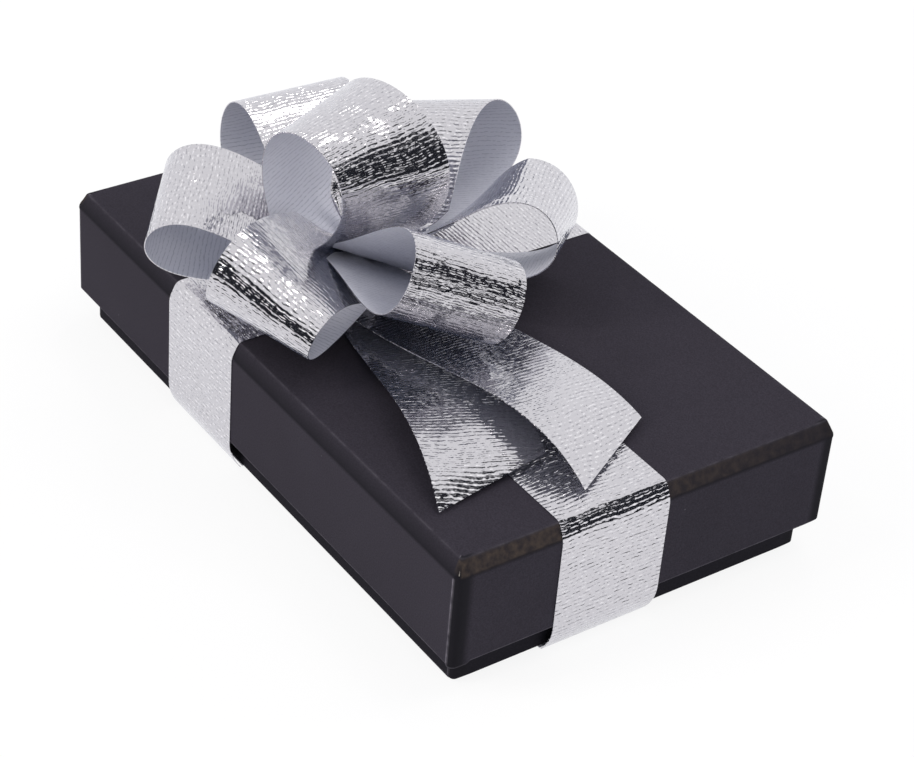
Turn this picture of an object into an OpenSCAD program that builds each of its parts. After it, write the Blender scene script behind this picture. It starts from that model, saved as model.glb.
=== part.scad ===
// Gift box with a lift-off lid, a ribbon tied both ways round it and a looped bow.
// The long side lies along X, the short side along Y and +Z is up.
// The origin is at the middle of the box, on the face that it stands on.

/* [Box] */
// Outer length of the lid
lid_l = 145; // [120:1:180]
// Outer width of the lid
lid_w = 90; // [75:1:120]
// Height of the lid
lid_h = 24; // [18:0.5:32]
// Height of tray wall that shows below the lid
tray_reveal = 6.9; // [4:0.1:10]
// Gap between the tray and the lid on each side
lid_gap = 1; // [0.5:0.1:2]
// Radius of the upright corners
corner_r = 1.5; // [1:0.1:3]
// Width of the bevel round the top of the lid
bevel_in = 1.6; // [1:0.1:2.2]
// Height of the bevel round the top of the lid
bevel_down = 3.3; // [2:0.1:4]

/* [Board and paper] */
// Thickness of the grey board
board_t = 1.5; // [1.2:0.1:2]
// Thickness of the wrapping paper
wrap_t = 0.25; // [0.15:0.05:0.4]
// Depth to which the wrapping paper is turned in
turn_in = 12; // [8:1:15]
// Thickness of the lining paper
liner_t = 0.2; // [0.1:0.05:0.3]
// Thickness of the paper tape round each board corner
stay_t = 0.2; // [0.1:0.05:0.3]
// Width of that tape on each side of its corner
stay_w = 12; // [8:1:16]

/* [Ribbon] */
// Width of the ribbon
ribbon_w = 25; // [20:1:28]
// Thickness of the ribbon
ribbon_t = 0.25; // [0.15:0.05:0.35]
// Where the lengthwise strap lies across the box
long_strap_y = -9.3; // [-16:0.1:16]
// Where the crosswise strap lies along the box
cross_strap_x = -19; // [-30:0.5:30]
// Clearance between ribbon that lifts off and what stays behind
ribbon_gap = 0.3; // [0.2:0.05:0.6]

/* [Bow] */
// Height of the knot's middle above the lid
knot_lift = 5.1; // [4.8:0.1:6]
// Radius of the knot
knot_r = 5; // [4.5:0.1:5.4]
// Width of the ribbon where it is pinched at the knot
pinch_w = 4; // [3:0.5:5]

/* [Bow loops: heading, lift and roll in degrees] */
// Top loop
top_aim = [173, 106, -17]; // [-180:0.5:180]
// Loop at the back left
back_left_aim = [174.5, 20, 0]; // [-180:0.5:180]
// Left loop
left_aim = [-113, 19, 13]; // [-180:0.5:180]
// Front loop
front_aim = [-59.5, 12, 15]; // [-180:0.5:180]
// Loop at the front right
front_right_aim = [-6, 20.5, -154]; // [-180:0.5:180]
// Right loop
right_aim = [47, 22, -167]; // [-180:0.5:180]
// Loop at the back right
back_right_aim = [121, 29, -161]; // [-180:0.5:180]

/* [Bow loops: reach and fullness] */
// Top loop
top_size = [38, 28]; // [12:0.5:50]
// Loop at the back left
back_left_size = [44.5, 23.5]; // [12:0.5:50]
// Left loop
left_size = [41, 14]; // [12:0.5:50]
// Front loop
front_size = [42.5, 14.5]; // [12:0.5:50]
// Loop at the front right
front_right_size = [48.5, 17]; // [12:0.5:50]
// Right loop
right_size = [45.5, 18]; // [12:0.5:50]
// Loop at the back right
back_right_size = [41, 18.5]; // [12:0.5:50]

/* [Bow tails] */
// Length of the left tail along its middle
tail_left_l = 74; // [50:0.5:95]
// How far the left tail's slanted end runs past its middle
tail_left_slant = 5.5; // [0:0.5:12]
// Length of the right tail along its middle
tail_right_l = 76; // [50:0.5:90]
// How far the right tail's slanted end runs past its middle
tail_right_slant = 4; // [0:0.5:12]

/* [Hidden] */

// Wrapped wall: paper outside, board, and paper turned in
wall_t = 2 * wrap_t + board_t;
// Heights, from the two straps under the tray up to the top of the lid
tray_z = 2 * ribbon_t;
skirt_z = tray_z + tray_reveal;
lid_z = skirt_z + lid_h;
ceiling_z = lid_z - wrap_t - board_t;
rim_z = ceiling_z - liner_t;
// Outside of the tray
tray_l = lid_l - 2 * (wall_t + lid_gap);
tray_w = lid_w - 2 * (wall_t + lid_gap);
// The corner tapes stop this far short of the rims and the bevel
stay_margin = 1;
// The knot sits where the straps cross, on both of them
knot = [cross_strap_x, long_strap_y, lid_z + knot_lift];
crossing_z = lid_z + 2 * ribbon_t;
// Length over which a strap climbs onto the one below it
hop_l = 2;
// Loops and tails start clear of the knot's surface, on a sphere of this radius
root_gap = 0.3;
root_r = knot_r + root_gap + ribbon_t;
loop_rings = 44;
tail_rings = 36;
// A tail's slanted end is drawn out over this many of its last rings
slant_rings = 12;
search_steps = 24;
over = 1;
$fn = 48;

board_grey = "dimgray";
tape_brown = "burlywood";
wrap_black = "#2c2a31";
liner_black = "#1d1c20";
ribbon_silver = "#c9cbd4";

// ---- Flat and upright shapes ----

module rounded_rect(l, w, r) {
    if (r > 0) {
        square([l - 2 * r, w], center = true);
        square([l, w - 2 * r], center = true);
        for (x = [-1, 1], y = [-1, 1])
            translate([x * (l / 2 - r), y * (w / 2 - r)]) circle(r);
    } else {
        square([l, w], center = true);
    }
}

// Upright block from z0 to z1, drawn in by inset on its four sides
module block(l, w, r, inset, z0, z1) {
    translate([0, 0, z0])
        linear_extrude(z1 - z0)
            rounded_rect(l - 2 * inset, w - 2 * inset, r - inset);
}

module tray_block(inset, z0, z1) {
    block(tray_l, tray_w, corner_r, inset, z0, z1);
}

// Side view of the lid, drawn in by inset, with its two bevels
module lid_profile(width, inset, z0) {
    k = 1 + inset * (norm([1 / bevel_in, 1 / bevel_down]) - 1 / bevel_in - 1 / bevel_down);
    side = width / 2 - inset;
    top = lid_z - inset;
    bevel_side = side - k * bevel_in;
    bevel_z = top - k * bevel_down;
    polygon([
        [-side, z0], [side, z0], [side, bevel_z],
        [bevel_side, top], [-bevel_side, top], [-side, bevel_z]
    ]);
}

// Lid-shaped block, drawn in by inset, from z0 up
module lid_block(inset, z0) {
    intersection() {
        block(lid_l, lid_w, corner_r, inset, z0, lid_z - inset);
        rotate([90, 0, 0])
            linear_extrude(lid_w + over, center = true) lid_profile(lid_l, inset, z0);
        rotate([90, 0, 90])
            linear_extrude(lid_l + over, center = true) lid_profile(lid_w, inset, z0);
    }
}

// Thin upright skin from z0 to z1 that follows the inside of a wall of the given outer size
module skin(l, w, inset, thickness, z0, z1) {
    difference() {
        block(l, w, 0, inset, z0, z1);
        block(l, w, 0, inset + thickness, z0 - over, z1 + over);
    }
}

// Four upright tapes, one round each outer corner of a board that has the given outer size
module corner_tapes(l, w, z0, z1) {
    intersection() {
        difference() {
            block(l, w, corner_r, wrap_t, z0, z1);
            block(l, w, corner_r, wrap_t + stay_t, z0 - over, z1 + over);
        }
        for (x = [-1, 1], y = [-1, 1])
            translate([x * l / 2, y * w / 2, (z0 + z1) / 2])
                cube([2 * stay_w, 2 * stay_w, z1 - z0 + over], center = true);
    }
}

// ---- Tray ----

module tray_board() {
    color(board_grey)
        difference() {
            tray_block(wrap_t, tray_z + wrap_t, rim_z - wrap_t);
            block(tray_l, tray_w, 0, wrap_t + board_t, tray_z + wrap_t + board_t, rim_z);
            tray_corner_stays();
        }
}

module tray_corner_stays() {
    color(tape_brown)
        corner_tapes(tray_l, tray_w, tray_z + wrap_t + stay_margin, rim_z - wrap_t - stay_margin);
}

module tray_wrap() {
    color(wrap_black) {
        difference() {
            tray_block(0, tray_z, rim_z);
            tray_block(wrap_t, tray_z + wrap_t, rim_z - wrap_t);
            block(tray_l, tray_w, 0, wall_t, rim_z - wrap_t - over, rim_z + over);
        }
        skin(tray_l, tray_w, wrap_t + board_t, wrap_t, rim_z - turn_in, rim_z);
    }
}

module tray_liner() {
    floor_z = tray_z + wrap_t + board_t;
    color(liner_black)
        difference() {
            block(tray_l, tray_w, 0, wrap_t + board_t, floor_z, rim_z - turn_in);
            block(tray_l, tray_w, 0, wrap_t + board_t + liner_t, floor_z + liner_t, rim_z);
        }
}

// ---- Lid ----

module lid_board() {
    color(board_grey)
        difference() {
            lid_block(wrap_t, skirt_z + wrap_t);
            block(lid_l, lid_w, 0, wrap_t + board_t, skirt_z, ceiling_z);
            lid_corner_stays();
        }
}

module lid_corner_stays() {
    color(tape_brown)
        corner_tapes(lid_l, lid_w, skirt_z + wrap_t + stay_margin, lid_z - bevel_down - stay_margin);
}

module lid_wrap() {
    color(wrap_black) {
        difference() {
            lid_block(0, skirt_z);
            lid_block(wrap_t, skirt_z + wrap_t);
            block(lid_l, lid_w, 0, wall_t, skirt_z - over, skirt_z + wrap_t + over);
        }
        skin(lid_l, lid_w, wrap_t + board_t, wrap_t, skirt_z, skirt_z + turn_in);
    }
}

module lid_liner() {
    color(liner_black)
        difference() {
            block(lid_l, lid_w, 0, wrap_t + board_t, skirt_z + turn_in, ceiling_z);
            block(lid_l, lid_w, 0, wrap_t + board_t + liner_t, skirt_z, ceiling_z - liner_t);
        }
}

// ---- Straps ----

function unit(v) = v / norm(v);

// Direction square to the stretch of line that starts at point i
function across(line, i) = let (d = unit(line[i + 1] - line[i])) [d.y, -d.x];

// The line moved outwards by a thickness, with mitred corners
function moved_out(line, thickness) = [
    for (i = [0 : len(line) - 1])
        let (
            before = across(line, max(i - 1, 0)),
            after = across(line, min(i, len(line) - 2)),
            bend = unit(before + after)
        )
        line[i] + bend * thickness / (bend * before)
];

function mirrored(line) = [for (i = [len(line) - 1 : -1 : 0]) [-line[i].x, line[i].y]];

// Half a strap in side view: in from the tray's bottom edge, up the skirt and over the bevel
function strap_side(lid_half, tray_half) =
    let (foot = tray_half + ribbon_gap)
    concat(
        [for (u = [1 : -1 / 6 : 0.01])
            [lid_half - (lid_half - foot) * u * u, skirt_z - (skirt_z - ribbon_gap) * u]],
        [[lid_half, skirt_z], [lid_half, lid_z - bevel_down], [lid_half - bevel_in, lid_z]]
    );

// A strap's line climbs over a strap of the same ribbon that lies at x
function hop(x) = [
    [x + ribbon_w / 2 + hop_l, lid_z], [x + ribbon_w / 2, lid_z + ribbon_t],
    [x - ribbon_w / 2, lid_z + ribbon_t], [x - ribbon_w / 2 - hop_l, lid_z]
];

module strap(line) {
    outside = moved_out(line, ribbon_t);
    linear_extrude(ribbon_w, center = true)
        polygon(concat(line, [for (i = [len(line) - 1 : -1 : 0]) outside[i]]));
}

module strap_long() {
    side = strap_side(lid_l / 2, tray_l / 2);
    color(ribbon_silver)
        translate([0, long_strap_y, 0])
            rotate([90, 0, 0]) strap(concat(side, hop(cross_strap_x), mirrored(side)));
}

module strap_cross() {
    side = strap_side(lid_w / 2, tray_w / 2);
    color(ribbon_silver)
        translate([cross_strap_x, 0, 0])
            rotate([90, 0, 90]) strap(concat(side, mirrored(side)));
}

module under_strap_long() {
    color(ribbon_silver)
        translate([-tray_l / 2, long_strap_y - ribbon_w / 2, 0])
            cube([tray_l, ribbon_w, ribbon_t]);
}

module under_strap_cross() {
    color(ribbon_silver)
        translate([cross_strap_x - ribbon_w / 2, -tray_w / 2, ribbon_t])
            cube([ribbon_w, tray_w, ribbon_t]);
}

// ---- Bow ----

module bow_knot() {
    color(ribbon_silver)
        difference() {
            translate(knot) sphere(knot_r);
            translate([knot.x, knot.y, crossing_z - knot_r])
                cube(2 * knot_r, center = true);
        }
}

// A flat strip of ribbon as a closed solid.
// Each ring is [middle, unit vector across the ribbon, half width, extra length of each edge].
module strip(rings) {
    last = len(rings) - 1;
    points = [
        for (i = [0 : last])
            let (
                ahead = unit(rings[min(i + 1, last)][0] - rings[max(i - 1, 0)][0]),
                face = unit(cross(rings[i][1], ahead)) * ribbon_t / 2,
                half = rings[i][1] * rings[i][2],
                slant = ahead * rings[i][3],
                near = rings[i][0] - half - slant,
                far = rings[i][0] + half + slant
            )
            each [near - face, far - face, far + face, near + face]
    ];
    sides = [
        for (i = [0 : last - 1], j = [0 : 3])
            let (a = 4 * i + j, b = 4 * i + (j + 1) % 4)
            each [[a, b, b + 4], [a, b + 4, a + 4]]
    ];
    ends = [
        [0, 2, 1], [0, 3, 2],
        [4 * last, 4 * last + 1, 4 * last + 2], [4 * last, 4 * last + 2, 4 * last + 3]
    ];
    polyhedron(points, concat(sides, ends));
}

// Half width of the ribbon at a length g from its pinched end
function half_width(g, gather) =
    pinch_w / 2 + (ribbon_w - pinch_w) / 2 * pow(min(g / gather, 1), 1.1);

// Directions of a ribbon: along it, across it and square to its face
function along(heading, lift) = [cos(lift) * cos(heading), cos(lift) * sin(heading), sin(lift)];
function across_ribbon(heading, lift, roll) =
    let (level = [sin(heading), -cos(heading), 0])
    level * cos(roll) + cross(level, along(heading, lift)) * sin(roll);

function smooth(x) = let (u = max(0, min(1, x))) u * u * (3 - 2 * u);

// Highest value that sin(t) * s^neck takes round a loop
function fullest(neck) = max([for (t = [0 : 1 : 180]) sin(t) * pow((1 - cos(t)) / 2, neck)]);

// Middle of a loop's ribbon at the turn t: 0 and 360 are at the knot, 180 at the far end.
// The loop leaves the knot's middle for its own place, given by shift, over its first stretch.
function loop_middle(aim, size, neck, sag, shift, t) =
    let (
        s = (1 - cos(t)) / 2,
        out = along(aim[0], aim[1]),
        square = cross(across_ribbon(aim[0], aim[1], aim[2]), out),
        rise = size[1] / 2 * sin(t) * pow(s, neck) / fullest(neck) + sag * s * s
    )
    knot + shift * smooth(s / 0.22) + out * size[0] * s + square * rise;

// Turn at which a loop leaves the knot, found by halving between turns a and b
function leaves_knot(aim, size, neck, sag, shift, a, b, n = search_steps) =
    let (t = (a + b) / 2)
    n == 0 ? b
    : norm(loop_middle(aim, size, neck, sag, shift, t) - knot) < root_r
        ? leaves_knot(aim, size, neck, sag, shift, t, b, n - 1)
        : leaves_knot(aim, size, neck, sag, shift, a, t, n - 1);

// Length along a list of points, from the first to each
function lengths(points, i = 0, sum = 0) =
    i == len(points) - 1 ? [sum]
    : concat([sum], lengths(points, i + 1, sum + norm(points[i + 1] - points[i])));

// One loop of the bow. The ribbon is pinched at the knot, rises, turns back at the far end and
// returns below itself. Neck sharpens its start, sag droops its end, twist turns its two runs
// against each other, splay leans its edges and gather is the length over which it widens.
// Sag, shift and gather are given in ribbon widths.
module ribbon_loop(aim, size, neck, sag, twist, splay, shift, gather) {
    droop = sag * ribbon_w;
    place = shift * ribbon_w;
    out = along(aim[0], aim[1]);
    wide = across_ribbon(aim[0], aim[1], aim[2]);
    square = cross(wide, out);
    first = leaves_knot(aim, size, neck, droop, place, 0, 90);
    last = leaves_knot(aim, size, neck, droop, place, 360, 270);
    turns = [for (i = [0 : loop_rings]) first + (last - first) * i / loop_rings];
    middle = [for (t = turns) loop_middle(aim, size, neck, droop, place, t)];
    gone = lengths(middle);
    strip([
        for (i = [0 : loop_rings])
            let (
                turned = wide * cos(twist * cos(turns[i] / 2)) + square * sin(twist * cos(turns[i] / 2)),
                g = min(gone[i], gone[loop_rings] - gone[i])
            )
            [middle[i], turned * cos(splay) + out * sin(splay), half_width(g, gather * ribbon_w), 0]
    ]);
}

// Value at s of the polynomial with these terms, from the constant up
function curve(terms, s, i = 0) =
    i == len(terms) ? 0 : terms[i] * pow(s, i) + curve(terms, s, i + 1);

// Points along a tail that starts at a point and takes its heading and pitch from two curves
function tail_middle(start, heading, pitch, step, i = 0) =
    i == tail_rings ? [start]
    : let (s = (i + 0.5) / tail_rings)
      concat([start], tail_middle(start + step * along(curve(heading, s), curve(pitch, s)),
                                  heading, pitch, step, i + 1));

// A tail of the bow: one length of ribbon with a slanted end. It leaves the knot in the direction
// leaves, and its heading, pitch and roll follow curves along its length. Its gather, the length
// over which it widens, is given in ribbon widths.
module ribbon_tail(length, heading, pitch, roll, leaves, slant, gather) {
    root = knot + unit(leaves) * root_r;
    middle = tail_middle(root, heading, pitch, length / tail_rings);
    strip([
        for (i = [0 : tail_rings])
            let (s = i / tail_rings)
            [
                middle[i],
                across_ribbon(curve(heading, s), curve(pitch, s), curve(roll, s)),
                half_width(s * length, gather * ribbon_w),
                slant * max(0, 1 - (tail_rings - i) / slant_rings)
            ]
    ]);
}

module loop_top() {
    color(ribbon_silver)
        ribbon_loop(top_aim, top_size, neck = 0.4, sag = 0.124, twist = 20, splay = 0,
                    shift = [-0.108, -0.212, 0.016], gather = 0.6);
}

module loop_back_left() {
    color(ribbon_silver)
        ribbon_loop(back_left_aim, back_left_size, neck = 0.95, sag = -0.032, twist = 5, splay = 1,
                    shift = [0.108, 0.024, -0.076], gather = 0.8);
}

module loop_left() {
    color(ribbon_silver)
        ribbon_loop(left_aim, left_size, neck = 1.2, sag = 0.072, twist = 3, splay = -12,
                    shift = [0.024, -0.108, 0.004], gather = 0.96);
}

module loop_front() {
    color(ribbon_silver)
        ribbon_loop(front_aim, front_size, neck = 1.1, sag = 0.02, twist = 18, splay = -6,
                    shift = [0.088, -0.024, 0.016], gather = 0.52);
}

module loop_front_right() {
    color(ribbon_silver)
        ribbon_loop(front_right_aim, front_right_size, neck = 1.75, sag = -0.06, twist = -1, splay = 1,
                    shift = [0.1, -0.052, -0.008], gather = 0.52);
}

module loop_right() {
    color(ribbon_silver)
        ribbon_loop(right_aim, right_size, neck = 1.2, sag = 0.016, twist = 10, splay = -1,
                    shift = [0.032, 0.016, -0.06], gather = 1.08);
}

module loop_back_right() {
    color(ribbon_silver)
        ribbon_loop(back_right_aim, back_right_size, neck = 1.2, sag = 0.124, twist = 5, splay = -6,
                    shift = [0.124, 0.192, -0.1], gather = 0.52);
}

module tail_left() {
    color(ribbon_silver)
        ribbon_tail(tail_left_l, heading = [-10.3, -10.8, 3.5], pitch = [-10, 39.1, 51.4, -110.6],
                    roll = [-0.3, -2.9, 15.5], leaves = [5.1, 1.4, -3.2], slant = tail_left_slant, gather = 0.52);
}

module tail_right() {
    color(ribbon_silver)
        ribbon_tail(tail_right_l, heading = [0.3, 24.2, -16.8], pitch = [-2.2, 7.8, 83.9, -124.3],
                    roll = [-0.2, 18.7, -7.1], leaves = [5.4, -1, -2.2], slant = tail_right_slant, gather = 0.56);
}

tray_board();
tray_corner_stays();
tray_wrap();
tray_liner();
under_strap_long();
under_strap_cross();
lid_board();
lid_corner_stays();
lid_wrap();
lid_liner();
strap_long();
strap_cross();
bow_knot();
loop_top();
loop_back_left();
loop_left();
loop_front();
loop_front_right();
loop_right();
loop_back_right();
tail_left();
tail_right();
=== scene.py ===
# Gift box with a lift-off lid, a silver ribbon tied both ways round it and a looped bow.
# Dictionaries hold millimetres and degrees, unless a note says otherwise. The scene is in metres.
import math
import bmesh
import bpy
import numpy as np
from mathutils import Matrix, Vector
from mathutils.kdtree import KDTree


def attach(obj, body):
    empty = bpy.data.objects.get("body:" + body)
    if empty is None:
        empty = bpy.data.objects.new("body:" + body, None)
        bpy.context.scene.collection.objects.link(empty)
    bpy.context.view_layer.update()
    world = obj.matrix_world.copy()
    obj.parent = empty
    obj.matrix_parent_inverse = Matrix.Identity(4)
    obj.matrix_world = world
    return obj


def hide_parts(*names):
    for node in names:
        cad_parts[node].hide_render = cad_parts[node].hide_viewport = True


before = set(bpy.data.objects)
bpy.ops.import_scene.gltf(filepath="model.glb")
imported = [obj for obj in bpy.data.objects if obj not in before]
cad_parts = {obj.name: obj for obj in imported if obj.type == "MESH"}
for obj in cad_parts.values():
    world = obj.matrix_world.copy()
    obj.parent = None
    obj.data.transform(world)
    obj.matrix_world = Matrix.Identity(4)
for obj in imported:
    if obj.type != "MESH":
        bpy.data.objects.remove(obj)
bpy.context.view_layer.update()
print("frame loaded with", len(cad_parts), "nodes")

mm = 0.001

cameraSet = {
    "place": (348.1, -259.4, 316.6),
    "azimuth": 52.66,
    "elevation": 35.01,
    "roll": 4.94,
    "lens": 100.1,
    "sensor": 36.0,
    "clip": (0.01, 20),  # metres
}


def makeCamera(values):
    a = math.radians(values["azimuth"])
    e = math.radians(values["elevation"])
    back = Vector((math.sin(a) * math.cos(e), -math.cos(a) * math.cos(e), math.sin(e)))
    right = Vector((0, 0, 1)).cross(back).normalized()
    turn = Matrix((right, back.cross(right), back)).transposed()
    turn = turn @ Matrix.Rotation(math.radians(values["roll"]), 3, "Z")
    lens = bpy.data.cameras.new("camera")
    lens.lens = values["lens"]
    lens.sensor_width = values["sensor"]
    lens.clip_start, lens.clip_end = values["clip"]
    camera = bpy.data.objects.new("camera", lens)
    bpy.context.scene.collection.objects.link(camera)
    camera.matrix_world = Matrix.Translation(Vector(values["place"]) * mm) @ turn.to_4x4()
    bpy.context.scene.camera = camera


makeCamera(cameraSet)
print("camera placed")


def colour(hexCode):
    # hex values are sRGB, and the sockets want linear light
    linear = []
    for i in (1, 3, 5):
        c = int(hexCode[i:i + 2], 16) / 255
        linear.append(c / 12.92 if c <= 0.04045 else ((c + 0.055) / 1.055) ** 2.4)
    return (*linear, 1.0)


def addNode(tree, kind, settings=None, links=None):
    node = tree.nodes.new("ShaderNode" + kind)
    for name, value in (settings or {}).items():
        if name == "stops":
            ramp = node.color_ramp
            for i, (place, shade) in enumerate(value):
                stop = ramp.elements[i] if i < 2 else ramp.elements.new(place)
                stop.position = place
                stop.color = shade
        else:
            setattr(node, name, value)
    for socket, value in (links or {}).items():
        if isinstance(value, bpy.types.NodeSocket):
            tree.links.new(value, node.inputs[socket])
        else:
            node.inputs[socket].default_value = value
    return node


def newMaterial(name):
    material = bpy.data.materials.new(name)
    material.use_nodes = True
    material.node_tree.nodes.clear()
    return material, material.node_tree


def finishMaterial(tree, shader):
    addNode(tree, "OutputMaterial", links={"Surface": shader.outputs[0]})


# The film is rolled with wavy ribs across the ribbon, broken into beads. A slope is rise over run, a
# scale is noise cells to the millimetre, and a range turns a noise or a rib's height into a share.
embossing = {
    "ribSpacing": 0.95,
    "ribSlope": 0.42,
    "ribFlank": 2.3,
    "ribWander": 7.0,
    "ribWanderSize": 12.0,
    "ribJitter": 0.45,
    "jitterScale": 0.9,
    "beadLength": 1.15,
    "beadSlope": 0.07,
    "beadRange": {"From Min": 0.36, "From Max": 0.64, "To Min": 0.15, "To Max": 1.3},
    "patchScale": 0.6,
    "patchRange": {"From Min": 0.35, "From Max": 0.65, "To Min": 0.6, "To Max": 1.3},
    "crumpleSize": 4.0,
    "crumpleSlope": 0.12,
    "dashLength": 0.8,
    "dashRange": {"From Min": 0.86, "From Max": 1.0},
    "dashShift": (7.3, 4.1, 0),
}
flatNoise = {"noise_dimensions": "2D"}


def waveScale(spacing):
    # a wave texture repeats every 2 pi / 20 of its own unit
    return 2 * math.pi / 20 / spacing


def centred(tree, noise, size):
    # a noise colour turned into a push either way along the two directions of the ribbon
    middle = addNode(tree, "VectorMath", {"operation": "SUBTRACT"}, {
        0: noise.outputs["Color"], 1: (0.5, 0.5, 0.5),
    })
    return addNode(tree, "VectorMath", {"operation": "MULTIPLY"}, {0: middle.outputs[0], 1: size})


def ribNodes(tree, values, place):
    shake = addNode(tree, "TexNoise", flatNoise, {
        "Vector": place.outputs[0], "Scale": values["jitterScale"], "Detail": 2.0,
    })
    jitter = centred(tree, shake, (0.0, values["ribJitter"], 0.0))
    shaken = addNode(tree, "VectorMath", {"operation": "ADD"}, {
        0: place.outputs[0], 1: jitter.outputs[0],
    })
    scale = waveScale(values["ribSpacing"])
    return addNode(tree, "TexWave", {"bands_direction": "Y"}, {
        "Vector": shaken.outputs[0],
        "Scale": scale,
        "Distortion": values["ribWander"],
        "Detail": 1.5,
        "Detail Scale": 1 / scale / values["ribWanderSize"],
        "Detail Roughness": 0.5,
    })


def ribSlopeNodes(tree, values, place, ribs, beads, share):
    patches = addNode(tree, "TexNoise", flatNoise, {
        "Vector": place.outputs[0], "Scale": values["patchScale"], "Detail": 2.0,
    })
    patch = addNode(tree, "MapRange", None, {"Value": patches.outputs[0], **values["patchRange"]})
    bead = addNode(tree, "MapRange", None, {"Value": beads.outputs[0], **values["beadRange"]})
    bits = addNode(tree, "Math", {"operation": "MULTIPLY"}, {
        0: patch.outputs[0], 1: bead.outputs[0],
    })
    # raised to a power with its sign kept, each rib is flat between two steep flanks
    swing = addNode(tree, "MapRange", None, {
        "Value": ribs.outputs["Fac"], "To Min": -1.0, "To Max": 1.0,
    })
    size = addNode(tree, "Math", {"operation": "ABSOLUTE"}, {0: swing.outputs[0]})
    sharp = addNode(tree, "Math", {"operation": "POWER"}, {
        0: size.outputs[0], 1: values["ribFlank"],
    })
    steep = addNode(tree, "Math", {"operation": "MULTIPLY"}, {
        0: sharp.outputs[0], 1: swing.outputs[0],
    })
    rise = addNode(tree, "Math", {"operation": "MULTIPLY"}, {
        0: steep.outputs[0], 1: values["ribSlope"] * share,
    })
    broken = addNode(tree, "Math", {"operation": "MULTIPLY"}, {
        0: rise.outputs[0], 1: bits.outputs[0],
    })
    return addNode(tree, "CombineXYZ", None, {0: 0.0, 1: broken.outputs[0], 2: 0.0})


def embossNodes(tree, values, share):
    # ribs, beads and crumples each add a slope, and the normal map leans the light by their sum
    place = addNode(tree, "UVMap", {"uv_map": "ribbon"})
    ribs = ribNodes(tree, values, place)
    cells = addNode(tree, "Mapping", None, {
        "Vector": place.outputs[0],
        "Scale": (1 / values["beadLength"], 1 / values["ribSpacing"], 1),
    })
    beads = addNode(tree, "TexNoise", flatNoise, {
        "Vector": cells.outputs[0], "Scale": 1.0, "Detail": 1.0,
    })
    ribSlope = ribSlopeNodes(tree, values, place, ribs, beads, share)
    # a centred noise swings by a half at most, so its level is doubled
    beadLevel = values["beadSlope"] * share * 2
    beadSlope = centred(tree, beads, (beadLevel, beadLevel * 0.5, 0.0))
    crumpleLevel = values["crumpleSlope"] * share * 2
    crumples = addNode(tree, "TexNoise", flatNoise, {
        "Vector": place.outputs[0], "Scale": 1 / values["crumpleSize"], "Detail": 4.0,
    })
    crumple = centred(tree, crumples, (crumpleLevel, crumpleLevel, 0.0))
    fine = addNode(tree, "VectorMath", {"operation": "ADD"}, {
        0: ribSlope.outputs[0], 1: beadSlope.outputs[0],
    })
    slope = addNode(tree, "VectorMath", {"operation": "ADD"}, {
        0: fine.outputs[0], 1: crumple.outputs[0],
    })
    # a normal map's colour is its slope halved about the middle
    tilt = addNode(tree, "VectorMath", {"operation": "MULTIPLY_ADD"}, {
        0: slope.outputs[0], 1: (0.5, 0.5, 0.0), 2: (0.5, 0.5, 1.0),
    })
    normal = addNode(tree, "NormalMap", {"uv_map": "ribbon"}, {"Color": tilt.outputs[0]})
    return place, ribs, beads, normal.outputs[0]


def ribShadeDashes(tree, place, ribs, values, low, high):
    # painted shade along the deepest line of each rib, broken along its length
    pulled = addNode(tree, "Mapping", None, {
        "Vector": place.outputs[0],
        "Scale": (1 / values["dashLength"], 1 / values["ribSpacing"], 1),
        "Location": values["dashShift"],
    })
    breaks = addNode(tree, "TexNoise", flatNoise, {
        "Vector": pulled.outputs[0], "Scale": 1.0, "Detail": 1.0,
    })
    thin = addNode(tree, "MapRange", None, {"Value": ribs.outputs["Fac"], **values["dashRange"]})
    broken = addNode(tree, "MapRange", None, {
        "Value": breaks.outputs[0], "From Min": low, "From Max": high,
    })
    return addNode(tree, "Math", {"operation": "MULTIPLY"}, {
        0: thin.outputs[0], 1: broken.outputs[0],
    })


# Polyester film with an aluminium coat, embossed: a bright mirror broken up by the ribs, with
# painted shade in thin dashes along them, a painted highlight on the bead tops, and a little of the
# milky film under it
filmFinish = {
    # bead is the colour of the painted highlight on the bead tops
    # line is the colour of the painted shade along the ribs
    "colour": "#cdcbd0", "line": "#94939a", "bead": "#edebef", "roughness": 0.08, "metal": 0.98,
    "haze": 0.16, "hazeSpread": 0.5, "hazeTint": "#93a2cb", "relief": 1.0,
    "ribShadeDashes": (0.5, 0.62), "beadRow": (0.25, 0.05), "beadTop": (0.5, 0.62),
}


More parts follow.
